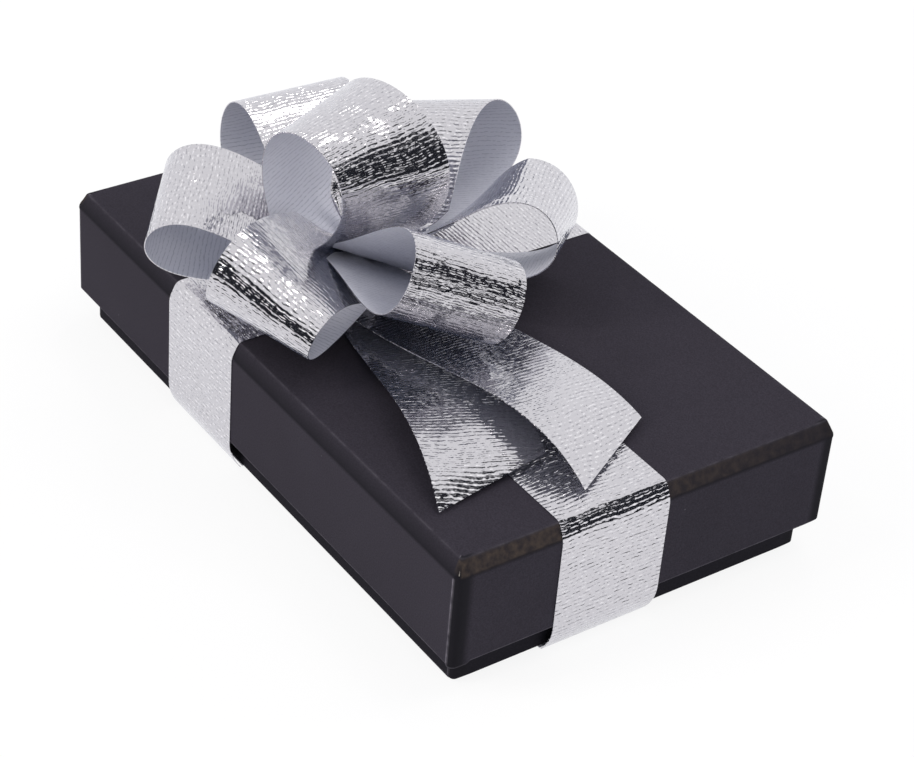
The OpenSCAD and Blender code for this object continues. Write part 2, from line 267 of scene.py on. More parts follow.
def metallisedFilm():
    material, tree = newMaterial("metallised polyester film, embossed")
    place, ribs, beads, normal = embossNodes(tree, embossing, filmFinish["relief"])
    # painted shade along the ribs
    dark = ribShadeDashes(tree, place, ribs, embossing, *filmFinish["ribShadeDashes"])
    shade = addNode(tree, "Mix", {"data_type": "RGBA"}, {
        "Factor": dark.outputs[0],
        "A": colour(filmFinish["colour"]),
        "B": colour(filmFinish["line"]),
    })
    # a painted highlight on the tops of the beads
    rowStart, rowEnd = filmFinish["beadRow"]
    row = addNode(tree, "MapRange", None, {
        "Value": ribs.outputs["Fac"], "From Min": rowStart, "From Max": rowEnd,
    })
    beadStart, beadEnd = filmFinish["beadTop"]
    bead = addNode(tree, "MapRange", None, {
        "Value": beads.outputs[0], "From Min": beadStart, "From Max": beadEnd,
    })
    top = addNode(tree, "Math", {"operation": "MULTIPLY"}, {0: row.outputs[0], 1: bead.outputs[0]})
    beadHighlights = addNode(tree, "Mix", {"data_type": "RGBA"}, {
        "Factor": top.outputs[0], "A": shade.outputs["Result"], "B": colour(filmFinish["bead"]),
    })
    shader = addNode(tree, "BsdfPrincipled", None, {
        "Base Color": beadHighlights.outputs["Result"],
        "Metallic": filmFinish["metal"],
        "Roughness": filmFinish["roughness"],
        "Sheen Weight": filmFinish["haze"],
        "Sheen Roughness": filmFinish["hazeSpread"],
        "Sheen Tint": colour(filmFinish["hazeTint"]),
        "Normal": normal,
    })
    finishMaterial(tree, shader)
    return material


# Its uncoated back is a matt pale grey, with painted shade in thin darker lines along the ribs
backFinish = {
    "colour": "#d5d6df", "line": "#aeb0bc", "roughness": 0.5, "relief": 0.5, "ribShadeDashes": (0.25, 0.55),
}


def filmBack():
    material, tree = newMaterial("uncoated film back")
    place, ribs, beads, normal = embossNodes(tree, embossing, backFinish["relief"])
    # painted shade along the ribs
    dark = ribShadeDashes(tree, place, ribs, embossing, *backFinish["ribShadeDashes"])
    shade = addNode(tree, "Mix", {"data_type": "RGBA"}, {
        "Factor": dark.outputs[0],
        "A": colour(backFinish["colour"]),
        "B": colour(backFinish["line"]),
    })
    shader = addNode(tree, "BsdfPrincipled", None, {
        "Base Color": shade.outputs["Result"],
        "Roughness": backFinish["roughness"],
        "Normal": normal,
    })
    finishMaterial(tree, shader)
    return material


def objectMillimetres(tree):
    place = addNode(tree, "TexCoord")
    return addNode(tree, "VectorMath", {"operation": "SCALE"}, {
        0: place.outputs["Object"], "Scale": 1 / mm,
    })


# Dyed black cover paper: soft and matt, with a fine felt-marked grain and pale edges: rubbed wear at
# the seams and a painted highlight along the rims and bevel tops.
# A scale is noise cells to the millimetre, and a range turns its noise into a share.
paperFinish = {
    # the tray's shades are the lid's paper painted darker, as painted shade under the lid's overhang
    "lid": ("#35323a", "#2e2b32"), "tray": ("#1f1d24", "#1b1a20"), "lining": ("#232226", "#1f1e22"),
    # the near-black shade is painted shade on the bevels and round the corners
    # the pale edge colour is rubbed wear at the seams and a painted highlight along the rims and
    # bevel tops
    "wornAndHighlit": "#8b8790", "paintedShade": "#1a191e", "speck": "#463d37", "dust": "#77747b",
    "grain": 0.3, "grainHeight": 0.02, "roughness": 0.85, "gloss": 0.1, "cloudScale": 0.05,
    "fibreRange": {"From Min": 0.3, "From Max": 0.7, "To Min": 0.82, "To Max": 1.2},
    "speckScale": 0.7,
    "speckRange": {"From Min": 0.35, "From Max": 0.7, "To Min": 0.25, "To Max": 1.0},
    "edgeNoiseScale": 0.45,
    "edgeNoiseRange": {"From Min": 0.3, "From Max": 0.7, "To Min": 0.15, "To Max": 1.0},
    "dustScale": 0.16,
    "dustRange": {"From Min": 0.014, "From Max": 0.028, "To Min": 0.5, "To Max": 0.0},
}


def coverPaper(name, shades):
    # the piece carries three attributes: its pale edges (wear and painted highlight), its painted
    # shade and its streaked bevels
    material, tree = newMaterial(name)
    place = objectMillimetres(tree)
    grain = addNode(tree, "TexNoise", None, {
        "Vector": place.outputs[0], "Scale": 1 / paperFinish["grain"], "Detail": 2.0,
    })
    cloud = addNode(tree, "TexNoise", None, {
        "Vector": place.outputs[0], "Scale": paperFinish["cloudScale"], "Detail": 4.0,
    })
    mottle = addNode(tree, "Mix", {"data_type": "RGBA"}, {
        "Factor": cloud.outputs[0], "A": colour(shades[0]), "B": colour(shades[1]),
    })
    fibre = addNode(tree, "MapRange", None, {
        "Value": grain.outputs[0], **paperFinish["fibreRange"],
    })
    flecked = addNode(tree, "VectorMath", {"operation": "SCALE"}, {
        0: mottle.outputs["Result"], "Scale": fibre.outputs[0],
    })
    # painted shade darkens the bevels and the rounded corners, and a brown speckle shows at the
    # streaks
    shadeMask = addNode(tree, "Attribute", {"attribute_name": "paintedShade"})
    shadePainted = addNode(tree, "Mix", {"data_type": "RGBA"}, {
        "Factor": shadeMask.outputs["Fac"],
        "A": flecked.outputs[0],
        "B": colour(paperFinish["paintedShade"]),
    })
    specks = addNode(tree, "TexNoise", None, {
        "Vector": place.outputs[0], "Scale": paperFinish["speckScale"], "Detail": 4.0,
    })
    speck = addNode(tree, "MapRange", None, {
        "Value": specks.outputs[0], **paperFinish["speckRange"],
    })
    bevel = addNode(tree, "Attribute", {"attribute_name": "streak"})
    streak = addNode(tree, "Math", {"operation": "MULTIPLY"}, {
        0: bevel.outputs["Fac"], 1: speck.outputs[0],
    })
    streaked = addNode(tree, "Mix", {"data_type": "RGBA"}, {
        "Factor": streak.outputs[0],
        "A": shadePainted.outputs["Result"],
        "B": colour(paperFinish["speck"]),
    })
    # pale edges: rubbed wear at the seam cuts, and a painted highlight where the rims and bevel tops
    # catch the light
    edgeNoises = addNode(tree, "TexNoise", None, {
        "Vector": place.outputs[0], "Scale": paperFinish["edgeNoiseScale"], "Detail": 4.0,
    })
    edgeNoise = addNode(tree, "MapRange", None, {"Value": edgeNoises.outputs[0], **paperFinish["edgeNoiseRange"]})
    edge = addNode(tree, "Attribute", {"attribute_name": "wearAndHighlight"})
    wearAndHighlight = addNode(tree, "Math", {"operation": "MULTIPLY"}, {
        0: edge.outputs["Fac"], 1: edgeNoise.outputs[0],
    })
    paleEdges = addNode(tree, "Mix", {"data_type": "RGBA"}, {
        "Factor": wearAndHighlight.outputs[0],
        "A": streaked.outputs["Result"],
        "B": colour(paperFinish["wornAndHighlit"]),
    })
    motes = addNode(tree, "TexVoronoi", None, {
        "Vector": place.outputs[0], "Scale": paperFinish["dustScale"],
    })
    mote = addNode(tree, "MapRange", None, {
        "Value": motes.outputs["Distance"], **paperFinish["dustRange"],
    })
    shade = addNode(tree, "Mix", {"data_type": "RGBA"}, {
        "Factor": mote.outputs[0],
        "A": paleEdges.outputs["Result"],
        "B": colour(paperFinish["dust"]),
    })
    bump = addNode(tree, "Bump", None, {
        "Height": grain.outputs[0], "Strength": 1.0, "Distance": paperFinish["grainHeight"] * mm,
    })
    shader = addNode(tree, "BsdfPrincipled", None, {
        "Base Color": shade.outputs["Result"],
        "Roughness": paperFinish["roughness"],
        "Specular IOR Level": paperFinish["gloss"],
        "Normal": bump.outputs[0],
    })
    finishMaterial(tree, shader)
    return material


# Recycled chipboard: grey pulp with darker specks, seen only at a cut edge
boardFinish = {
    "stops": ((0.3, "#5f5c57"), (0.62, "#9a958c"), (0.8, "#b3aea5")),
    "speckScale": 1.6, "height": 0.03, "roughness": 0.9,
}


def greyBoard():
    material, tree = newMaterial("recycled grey chipboard")
    place = objectMillimetres(tree)
    specks = addNode(tree, "TexNoise", None, {
        "Vector": place.outputs[0], "Scale": boardFinish["speckScale"], "Detail": 5.0,
    })
    stops = [(share, colour(code)) for share, code in boardFinish["stops"]]
    shade = addNode(tree, "ValToRGB", {"stops": stops}, {"Fac": specks.outputs[0]})
    bump = addNode(tree, "Bump", None, {
        "Height": specks.outputs[0], "Distance": boardFinish["height"] * mm,
    })
    shader = addNode(tree, "BsdfPrincipled", None, {
        "Base Color": shade.outputs[0],
        "Roughness": boardFinish["roughness"],
        "Normal": bump.outputs[0],
    })
    finishMaterial(tree, shader)
    return material


# Gummed kraft tape: brown, with fibres that run along it
tapeFinish = {
    "stops": ((0.3, "#8d6b45"), (0.7, "#b9966a")), "roughness": 0.8,
    "fibres": (3000, 3000, 400),  # noise cells to the metre
}


def kraftTape():
    material, tree = newMaterial("gummed kraft tape")
    place = addNode(tree, "TexCoord")
    stretched = addNode(tree, "Mapping", None, {
        "Vector": place.outputs["Object"], "Scale": tapeFinish["fibres"],
    })
    fibres = addNode(tree, "TexNoise", None, {
        "Vector": stretched.outputs[0], "Scale": 1.0, "Detail": 4.0,
    })
    stops = [(share, colour(code)) for share, code in tapeFinish["stops"]]
    shade = addNode(tree, "ValToRGB", {"stops": stops}, {"Fac": fibres.outputs[0]})
    shader = addNode(tree, "BsdfPrincipled", None, {
        "Base Color": shade.outputs[0], "Roughness": tapeFinish["roughness"],
    })
    finishMaterial(tree, shader)
    return material


film = metallisedFilm()
back = filmBack()
lidPaper = coverPaper("dyed black cover paper", paperFinish["lid"])
# the tray's copy of the paper is painted darker for the shade under the lid
shadedTrayPaper = coverPaper("dyed black cover paper, tray", paperFinish["tray"])
liningPaper = coverPaper("black lining paper", paperFinish["lining"])
board = greyBoard()
tape = kraftTape()
print("materials made")


ribbon = {
    "width": 25.0, "thickness": 0.2, "pinched": 5.0, "gathered": 1.1, "across": 25, "smooth": 50,
}
knot = {
    "middle": (-19.0, -9.3, 36.5), "radius": 5.0, "segments": 96, "rings": 48, "rest": 0.5,
    "shrunk": 0.93, "creases": 8, "creaseDepth": 0.07, "sway": (3, 2), "wander": (0.8, 5),
    "dents": (3, 5), "dentDepth": 0.04, "pattern": (15.7, 31.4),
}


def along(heading, lift):
    h = math.radians(heading)
    p = math.radians(lift)
    return np.array([math.cos(p) * math.cos(h), math.cos(p) * math.sin(h), math.sin(p)])


def acrossRibbon(heading, lift, roll):
    h = math.radians(heading)
    r = math.radians(roll)
    level = np.array([math.sin(h), -math.cos(h), 0.0])
    return level * math.cos(r) + np.cross(level, along(heading, lift)) * math.sin(r)


def lengthsOf(points):
    steps = np.linalg.norm(np.diff(points, axis=0), axis=1)
    return np.concatenate([[0.0], np.cumsum(steps)])


def unitRows(vectors):
    return vectors / np.maximum(np.linalg.norm(vectors, axis=-1, keepdims=True), 1e-9)


def halfWidth(gone, gather):
    # the ribbon opens from its pinched width to its full width over the gather
    pinched = ribbon["pinched"] / 2
    opened = np.minimum(gone / gather, 1) ** ribbon["gathered"]
    return pinched + (ribbon["width"] / 2 - pinched) * opened


def ribbonPiece(name, middle, wide, half, slant=None, pleat=None):
    # rings of points from the middle line, each with its direction across and half width
    gone = lengthsOf(middle)
    across = ribbon["across"]
    place = np.linspace(-1, 1, across)
    points = middle[:, None, :] + wide[:, None, :] * half[:, None, None] * place[None, :, None]
    if slant is not None:
        ahead = unitRows(np.gradient(middle, axis=0))
        points = points + ahead[:, None, :] * slant[:, None, None] * place[None, :, None]
    face = unitRows(np.cross(wide, np.gradient(middle, axis=0)))
    if pleat is not None:
        lifted, moved = pleat(gone, place, half)
        points = points + face[:, None, :] * lifted[:, :, None]
        points = points + wide[:, None, :] * moved[:, :, None]
    rings = len(middle)
    faces = []
    for i in range(rings - 1):
        for j in range(across - 1):
            a = i * across + j
            faces.append((a, a + 1, a + across + 1, a + across))
    mesh = bpy.data.meshes.new(name)
    mesh.from_pydata((points.reshape(-1, 3) * mm).tolist(), [], faces)
    # the film's pattern lies on the flat ribbon, in millimetres
    layer = mesh.uv_layers.new(name="ribbon")
    alongEdge = gone[:, None] + (0 if slant is None else slant[:, None] * place[None, :])
    acrossEdge = np.tile((place + 1) * ribbon["width"] / 2, (rings, 1))
    flat = np.stack([acrossEdge, alongEdge * np.ones((1, across))], -1).reshape(-1, 2)
    corners = np.zeros(len(mesh.loops), np.int32)
    mesh.loops.foreach_get("vertex_index", corners)
    layer.data.foreach_set("uv", flat[corners].astype(np.float32).ravel())
    piece = bpy.data.objects.new(name, mesh)
    bpy.context.scene.collection.objects.link(piece)
    mesh.materials.append(film)
    mesh.materials.append(back)
    bpy.ops.object.select_all(action="DESELECT")
    piece.select_set(True)
    bpy.context.view_layer.objects.active = piece
    wall = piece.modifiers.new("thickness", "SOLIDIFY")
    wall.thickness = ribbon["thickness"] * mm
    wall.offset = 0
    wall.material_offset = 1
    bpy.ops.object.modifier_apply(modifier="thickness")
    bpy.ops.object.shade_smooth_by_angle(angle=math.radians(ribbon["smooth"]))
    return piece, gone[-1]


def dress(piece, body, node):
    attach(piece, body)
    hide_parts(node)


# Each loop: heading, lift and roll of its aim, then its shape
loops = {
    "loop_top": {
        "aim": (173, 106, -17), "reach": 38, "belly": 28, "neck": 0.4, "sag": 3.1,
        "twist": 20, "splay": 0, "shift": (-2.7, -5.3, 0.4), "gather": 15, "folds": 2.5, "seed": 1,
    },
    "loop_back_left": {
        "aim": (174.5, 20, 0), "reach": 44.5, "belly": 23.5, "neck": 0.95, "sag": -0.8,
        "twist": 5, "splay": 1, "shift": (2.7, 0.6, -1.9), "gather": 20, "folds": 3, "seed": 2,
    },
    "loop_left": {
        "aim": (-113, 19, 13), "reach": 41, "belly": 14, "neck": 1.2, "sag": 1.8,
        "twist": 3, "splay": -12, "shift": (0.6, -2.7, 0.1), "gather": 24, "folds": 4, "seed": 3,
    },
    "loop_front": {
        "aim": (-59.5, 12, 15), "reach": 42.5, "belly": 14.5, "neck": 1.1, "sag": 0.5,
        "twist": 18, "splay": -6, "shift": (2.2, -0.6, 0.4), "gather": 13, "folds": 3.5, "seed": 4,
    },
    "loop_front_right": {
        "aim": (-6, 20.5, -154), "reach": 48.5, "belly": 17, "neck": 1.75, "sag": -1.5,
        "twist": -1, "splay": 1, "shift": (2.5, -1.3, -0.2), "gather": 13, "folds": 2, "seed": 5,
    },
    "loop_right": {
        "aim": (47, 22, -167), "reach": 45.5, "belly": 18, "neck": 1.2, "sag": 0.4,
        "twist": 10, "splay": -1, "shift": (0.8, 0.4, -1.5), "gather": 27, "folds": 2, "seed": 6,
        "lean": (38.6, 14.7, 20),
    },
    "loop_back_right": {
        "aim": (121, 29, -161), "reach": 41, "belly": 18.5, "neck": 1.2, "sag": 3.1,
        "twist": 5, "splay": -6, "shift": (3.1, 4.8, -2.5), "gather": 13, "folds": 2, "seed": 7,
    },
}
# What the loops share: the turns at which they leave the knot and come back to it, the share of
# their reach by which they have shifted, and the soft folds at their pinched ends
loopForm = {
    "rings": 150, "turns": (14, 346), "shifted": 0.22,
    "foldDepth": 1.1, "foldReach": 0.9, "foldFade": 1.5, "foldStart": 3.0, "foldLeast": 0.25,
    "leanEnd": 0.4,
}


def loopLine(loop, turns):
    t = np.radians(turns)
    s = (1 - np.cos(t)) / 2
    out = along(loop["aim"][0], loop["aim"][1])
    wide = acrossRibbon(*loop["aim"])
    square = np.cross(wide, out)
    half = np.radians(np.arange(0, 181))
    fullest = np.max(np.sin(half) * ((1 - np.cos(half)) / 2) ** loop["neck"])
    rise = loop["belly"] / 2 * np.sin(t) * s ** loop["neck"] / fullest + loop["sag"] * s * s
    u = np.clip(s / loopForm["shifted"], 0, 1)
    middle = np.array(knot["middle"]) + np.outer(u * u * (3 - 2 * u), loop["shift"])
    middle = middle + np.outer(loop["reach"] * s, out) + np.outer(rise, square)
    lean = math.radians(loop["twist"]) * np.cos(t / 2)
    turned = np.outer(np.cos(lean), wide) + np.outer(np.sin(lean), square)
    splay = math.radians(loop["splay"])
    return middle, turned * math.cos(splay) + out * math.sin(splay)


def pleats(loop, total):
    # soft folds run out from each pinched end and die away where the ribbon is at its full width
    def lift(gone, place, half):
        near = np.minimum(gone, total - gone)
        fade = np.clip(1 - near / (loop["gather"] * loopForm["foldReach"]), 0, 1)
        grown = np.clip(near / loopForm["foldStart"], loopForm["foldLeast"], 1)
        depth = loopForm["foldDepth"] * fade ** loopForm["foldFade"] * grown
        wave = np.cos(math.pi * loop["folds"] * place + loop["seed"])
        lifted = depth[:, None] * wave[None, :]
        moved = np.zeros_like(lifted)
        if "lean" in loop:
            # the returning run leans over about its near edge
            start, most, turn = loop["lean"]
            bounds = (most * loopForm["leanEnd"], most, start)
            lean = np.radians(turn) * np.interp(total - gone, bounds, (0, 1, 0))
            u = (place[None, :] + 1) * half[:, None]
            moved = u * (np.cos(lean) - 1)[:, None]
            lifted = lifted - u * np.sin(lean)[:, None]
        return lifted, moved
    return lift


for name, loop in loops.items():
    middle, wide = loopLine(loop, np.linspace(*loopForm["turns"], loopForm["rings"]))
    gone = lengthsOf(middle)
    total = gone[-1]
    half = halfWidth(np.minimum(gone, total - gone), loop["gather"])
    piece, length = ribbonPiece(name + "_ribbon", middle, wide, half, pleat=pleats(loop, total))
    dress(piece, "lid", name)
print("loops made")

# Each tail: its length, and its heading, pitch and roll as terms in the share of that length
tails = {
    "tail_left": {
        "length": 74, "heading": (-10.3, -10.8, 3.5), "pitch": (-10, 39.1, 51.4, -110.6),
        "roll": (-0.3, -2.9, 15.5), "leaves": (5.1, 1.4, -3.2), "slant": 5.5, "gather": 13,
    },
    "tail_right": {
        "length": 76, "heading": (0.3, 24.2, -16.8), "pitch": (-2.2, 7.8, 83.9, -124.3),
        "roll": (-0.2, 18.7, -7.1), "leaves": (5.4, -1, -2.2), "slant": 4, "gather": 14,
    },
}
tailForm = {"rings": 108, "clear": 0.55, "inside": (0.3, 0.6), "slantFrom": 3}


def terms(values, share):
    return sum(v * share ** i for i, v in enumerate(values))


def tailPiece(name, tail):
    rings = tailForm["rings"]
    heart = np.array(knot["middle"])
    leaves = np.array(tail["leaves"]) / np.linalg.norm(tail["leaves"])
    line = [heart + leaves * (knot["radius"] + tailForm["clear"])]
    for i in range(rings):
        share = (i + 0.5) / rings
        step = along(terms(tail["heading"], share), terms(tail["pitch"], share))
        line.append(line[-1] + step * tail["length"] / rings)
    shares = [i / rings for i in range(rings + 1)]
    aims = [[terms(tail[key], s) for key in ("heading", "pitch", "roll")] for s in shares]
    wide = [acrossRibbon(*aim) for aim in aims]
    half = halfWidth(np.array(shares) * tail["length"], tail["gather"])
    # the first stretch runs on into the knot, and the cut end slants over the last third
    inside = [heart + (line[0] - heart) * k for k in tailForm["inside"]]
    middle = np.array(inside + line)
    wide = np.array([wide[0], wide[0]] + wide)
    half = np.concatenate([[half[0], half[0]], half])
    slants = [tail["slant"] * max(0, 1 - (1 - s) * tailForm["slantFrom"]) for s in shares]
    return ribbonPiece(name + "_ribbon", middle, wide, half, slant=np.array([0, 0] + slants))


for name, tail in tails.items():
    piece, length = tailPiece(name, tail)
    dress(piece, "lid", name)
print("tails made")

box = {
    "lidLength": 145.0, "lidWidth": 90.0, "skirt": 7.4, "top": 31.4,
    "trayLength": 139.0, "trayWidth": 84.0, "trayBottom": 0.5, "trayRim": 29.45,
    "bevelIn": 1.6, "bevelDown": 3.3, "cornerRadius": 1.5,
    "wall": 2.0, "paper": 0.25, "turnIn": 12.0, "smooth": 35, "touch": 0.02,
}
# The straps are lines in side view, with each bend rounded
straps = {
    "longY": -9.3, "crossX": -19.0, "foot": 0.3, "footRings": 13, "bend": 1.1, "bendRings": 7,
    "bendLimit": 2.1, "step": 1.2, "lift": 0.6, "hop": 2.0, "hopRise": 0.25,
    "underLong": 0.25, "underCross": 0.5,
}


def strapSide(lidHalf, trayHalf):
    foot = trayHalf + straps["foot"]
    low = straps["foot"]
    side = []
    for u in np.linspace(1, 0, straps["footRings"])[:-1]:
        side.append((lidHalf - (lidHalf - foot) * u * u, box["skirt"] - (box["skirt"] - low) * u))
    side.append((lidHalf, box["skirt"]))
    side.append((lidHalf, box["top"] - box["bevelDown"]))
    side.append((lidHalf - box["bevelIn"], box["top"]))
    return side


def rounded(line, reach):
    # each corner is replaced by a short curve that starts and ends at that distance from it
    points = [np.array(line[0], float)]
    for before, corner, after in zip(line[:-2], line[1:-1], line[2:]):
        before, corner, after = (np.array(p, float) for p in (before, corner, after))
        inLength = np.linalg.norm(before - corner)
        outLength = np.linalg.norm(after - corner)
        r = min(reach, inLength / straps["bendLimit"], outLength / straps["bendLimit"])
        start = corner + (before - corner) / inLength * r
        end = corner + (after - corner) / outLength * r
        for k in np.linspace(0, 1, straps["bendRings"]):
            points.append(start * (1 - k) ** 2 + corner * 2 * k * (1 - k) + end * k * k)
    points.append(np.array(line[-1], float))
    return points


def spread(points, step):
    out = [points[0]]
    for a, b in zip(points[:-1], points[1:]):
        parts = max(1, math.ceil(np.linalg.norm(b - a) / step))
        for k in range(1, parts + 1):
            out.append(a + (b - a) * k / parts)
    return np.array(out)


def strapPiece(name, body, node, line, place, wide):
    flat = spread(rounded(line, straps["bend"]), straps["step"])
    # the film's middle lies a little more than half its thickness outside the line
    outward = unitRows(np.gradient(flat, axis=0))[:, ::-1] * np.array([1, -1])
    flat = flat + outward * ribbon["thickness"] * straps["lift"]
    middle = np.array([place(p) for p in flat])
    across = np.tile(np.array(wide, float), (len(middle), 1))
    half = np.full(len(middle), ribbon["width"] / 2)
    piece, length = ribbonPiece(name, middle, across, half)
    dress(piece, body, node)


def onLong(p):
    return (p[0], straps["longY"], p[1])


def onCross(p):
    return (straps["crossX"], p[0], p[1])


# The long strap hops over the cross strap, with the silver side out
side = strapSide(box["lidLength"] / 2, box["trayLength"] / 2)
top = box["top"]
hopTop = top + straps["hopRise"]
hopStart = ribbon["width"] / 2 + straps["hop"]
hopEnd = ribbon["width"] / 2
hop = [(hopStart, top), (hopEnd, hopTop), (-hopEnd, hopTop), (-hopStart, top)]
longLine = side + [(straps["crossX"] + x, z) for x, z in hop] + [(-x, z) for x, z in reversed(side)]
strapPiece("strap_long_ribbon", "lid", "strap_long", longLine,
           onLong, (0, 1, 0))
side = strapSide(box["lidWidth"] / 2, box["trayWidth"] / 2)
crossLine = side + [(-y, z) for y, z in reversed(side)]
strapPiece("strap_cross_ribbon", "lid", "strap_cross", crossLine,
           onCross, (-1, 0, 0))
# Under the tray the silver side faces down
longEnd = box["trayLength"] / 2
under = [(-longEnd, straps["underLong"]), (longEnd, straps["underLong"])]
strapPiece("under_strap_long_ribbon", "tray", "under_strap_long", under,
           onLong, (0, 1, 0))
crossEnd = box["trayWidth"] / 2
under = [(-crossEnd, straps["underCross"]), (crossEnd, straps["underCross"])]
strapPiece("under_strap_cross_ribbon", "tray", "under_strap_cross", under,
           onCross, (-1, 0, 0))
print("straps made")


def creasedKnot():
    bpy.ops.object.select_all(action="DESELECT")
    middle = Vector(knot["middle"]) * mm
    radius = knot["radius"] * mm
    bpy.ops.mesh.primitive_uv_sphere_add(
        segments=knot["segments"], ring_count=knot["rings"], radius=radius, location=middle,
    )
    piece = bpy.context.object
    piece.name = "bow_knot_ribbon"
    bpy.ops.object.transform_apply(location=True, rotation=True, scale=True)
    floor = (box["top"] + knot["rest"]) * mm
    sway, swayTurns = knot["sway"]
    wander, wanderTurns = knot["wander"]
    dentTurns, dentRises = knot["dents"]
    for vertex in piece.data.vertices:
        out = vertex.co - middle
        turn = math.atan2(out.y, out.x)
        rise = math.asin(max(-1, min(1, out.z / radius)))
        bent = knot["creases"] * turn + sway * math.sin(swayTurns * rise)
        crease = math.cos(bent + wander * math.sin(wanderTurns * turn))
        dent = math.sin(dentTurns * turn + dentRises * rise)
        size = knot["shrunk"] + knot["creaseDepth"] * crease * math.cos(rise)
        vertex.co = middle + out * (size + knot["dentDepth"] * dent)
        vertex.co.z = max(vertex.co.z, floor)
    layer = piece.data.uv_layers[0]
    layer.name = "ribbon"
    patternAcross, patternRound = knot["pattern"]
    for corner in layer.data:
        corner.uv = (corner.uv.y * patternAcross, corner.uv.x * patternRound)
    piece.data.materials.append(film)
    bpy.ops.object.shade_smooth()
    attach(piece, "lid")
    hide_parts("bow_knot")


creasedKnot()
print("knot made")


# The paper of each long side overlaps the corner and ends in a cut edge. The short side's paper
# goes under it, with painted shade round the rounded corner, and a loose tab at the rim of the near
# corner. An edge row is a distance before the cut and the wear there. A fade row is in shares of
# the step, the reach and the tab's drop, and ends with how much painted shade the paper gets.
seam = {
    "step": 0.11, "flush": 0.01, "tabDrop": (0.6, 0, 0, 0.15), "reach": 3.0,
    "edge": ((0.6, 0), (0.2, 0.1), (0.09, 1)), "cutWear": 0.4, "cutShade": 0.8, "wearAndHighlight": 0.9,
    "fade": ((0.5, 0.35, 1, 0.9), (0.25, 0.75, 0.9, 0.15), (0, 0.85, 0.6, 0), (0, 1, 0, 0)),
    "arcs": 5, "tighten": 1.8, "leastOutside": 0.5, "leastInside": 0.4,
}
# How far each bevel reaches in, and how its painted shade and its brown streak are shared out
bevels = {
    "reach": 2.1, "longShade": 0.4, "cornerGap": 0.9, "streakLeast": 0.25, "streakMost": 0.75,
    "streakEnd": 8, "streakFade": 30,
}


def cornerPoints(a, b, r, step, drop):
    # one corner from above, from the long side round to the short side: x, y, drop, wear, painted
    # shade
    points = [(a - r - away, -b, 0, wearAndHighlight, 0) for away, wearAndHighlight in seam["edge"]]
    points.append((a - r, step - b, drop, seam["cutWear"], seam["cutShade"]))
    # the rounded corner gets full painted shade
    for k in range(1, seam["arcs"] + 1):
        turn = math.radians(-90 + 90 / seam["arcs"] * k)
        x = a - r + (r - step) * math.cos(turn)
        y = r - b + (r - step) * math.sin(turn)
        points.append((x, y, drop, 0, 1))
    for back, way, hang, paintedShade in seam["fade"]:
        points.append((a - step * back, r - b + seam["reach"] * way, drop * hang, 0, paintedShade))
    return points


def wrapRing(a, b, r, step, drops):
    ring = []
    for (sx, sy), drop in zip(((1, -1), (1, 1), (-1, 1), (-1, -1)), drops):
        corner = cornerPoints(a, b, r, step, drop)
        turned = corner if sx * sy < 0 else corner[::-1]
        ring += [(sx * x, -sy * y, d, w, p) for x, y, d, w, p in turned]
    return ring


def shadeAt(x, level, length):
    # painted shade: the bevels of the short sides are shaded darker than those of the long sides
    return level if abs(x) > length / 2 - bevels["reach"] else level * bevels["longShade"]


def streakAt(x, y, level, length, width):
    # a brown speckle lies on the short sides' bevels, strongest at the near end
    if abs(x) < length / 2 - bevels["reach"] or abs(y) > width / 2 - bevels["cornerGap"]:
        return 0
    share = min(1, max(0, (bevels["streakEnd"] - y) / bevels["streakFade"]))
    return level * (bevels["streakLeast"] + bevels["streakMost"] * share)


def levelPoints(length, width, inset, z, wearAndHighlight, streak, paintedShade, side):
    # the outline at one level of the profile, with the wear and painted highlight, the streak and
    # the painted shade of each point
    least = seam["leastOutside"] if side else seam["leastInside"]
    r = max(box["cornerRadius"] - seam["tighten"] * inset, least)
    step = seam["step"] if side and not paintedShade else seam["flush"]
    drops = seam["tabDrop"] if side == 2 else (0, 0, 0, 0)
    ring = wrapRing(length / 2 - inset, width / 2 - inset, r, step, drops)
    shown = 1 if side else 0
    seamWear = 0 if not side or paintedShade else seam["wearAndHighlight"]
    return [
        (x, y, z - d, max(wearAndHighlight, w * seamWear), streakAt(x, y, streak, length, width),
         max(shadeAt(x, paintedShade, length), p * shown))
        for x, y, d, w, p in ring
    ]


def nearest(points, place):
    # which of the points, in millimetres, a vertex was pulled from
    return min(range(len(points)), key=lambda i: (Vector(points[i][:3]) * mm - place).length)


def wrapBox(name, length, width, profile):
    # a ring of points is pulled up the profile and set on its outline at each level
    rings = [levelPoints(length, width, *level) for level in profile]
    bpy.ops.object.select_all(action="DESELECT")
    bpy.ops.mesh.primitive_circle_add(vertices=len(rings[0]), radius=length / 2 * mm)
    piece = bpy.context.object
    piece.name = name
    for vertex, point in zip(piece.data.vertices, rings[0]):
        vertex.co = Vector(point[:3]) * mm
    bpy.ops.object.mode_set(mode="EDIT")
    bpy.ops.mesh.select_all(action="SELECT")
    for last, new in zip(rings[:-1], rings[1:]):
        bpy.ops.mesh.extrude_edges_move()
        sketch = bmesh.from_edit_mesh(piece.data)
        for vertex in sketch.verts:
            if vertex.select:
                vertex.co = Vector(new[nearest(last, vertex.co)][:3]) * mm
        bmesh.update_edit_mesh(piece.data)
    bpy.ops.mesh.edge_face_add()
    bpy.ops.mesh.select_all(action="SELECT")
    bpy.ops.mesh.normals_make_consistent(inside=False)
    bpy.ops.object.mode_set(mode="OBJECT")
    return piece, [point for ring in rings for point in ring]


